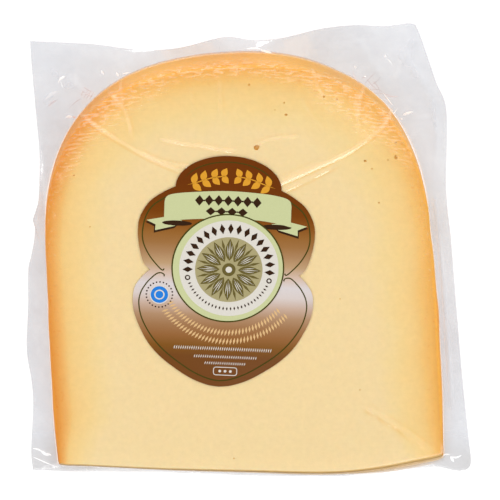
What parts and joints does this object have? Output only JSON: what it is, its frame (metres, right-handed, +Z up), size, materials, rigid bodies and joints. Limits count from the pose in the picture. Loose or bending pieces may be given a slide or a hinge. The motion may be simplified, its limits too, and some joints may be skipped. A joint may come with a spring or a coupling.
{
  "type": "vacuum-packed smoked gouda wedge",
  "caption": "Arch-shaped wedge of smoked gouda with an orange rind, vacuum sealed in a clear flanged pouch that carries a lobed paper label on its front.",
  "frame": {"origin": "centre of the pack's footprint, on the surface that it lies on", "axes": "+Z up from the back cut face that it lies on, +Y towards the wheel's rim, +X to the right as the label is read"},
  "size_m": [0.1264, 0.1285, 0.0361],
  "materials": {
    "clear_film": "clear, glossy vacuum film",
    "cheese": "smooth cut cheese, pale yellow turning orange at the smoked rind",
    "label_paper": "coated label paper, printed brown, satin",
    "print_green": "pale green print",
    "print_dark": "dark olive print",
    "print_gold": "golden yellow print",
    "print_white": "off-white print",
    "print_blue": "bright blue print"
  },
  "bodies": {
    "root": {"pouch": "clear_film", "label": "label_paper"}
  },
  "joints": []
}
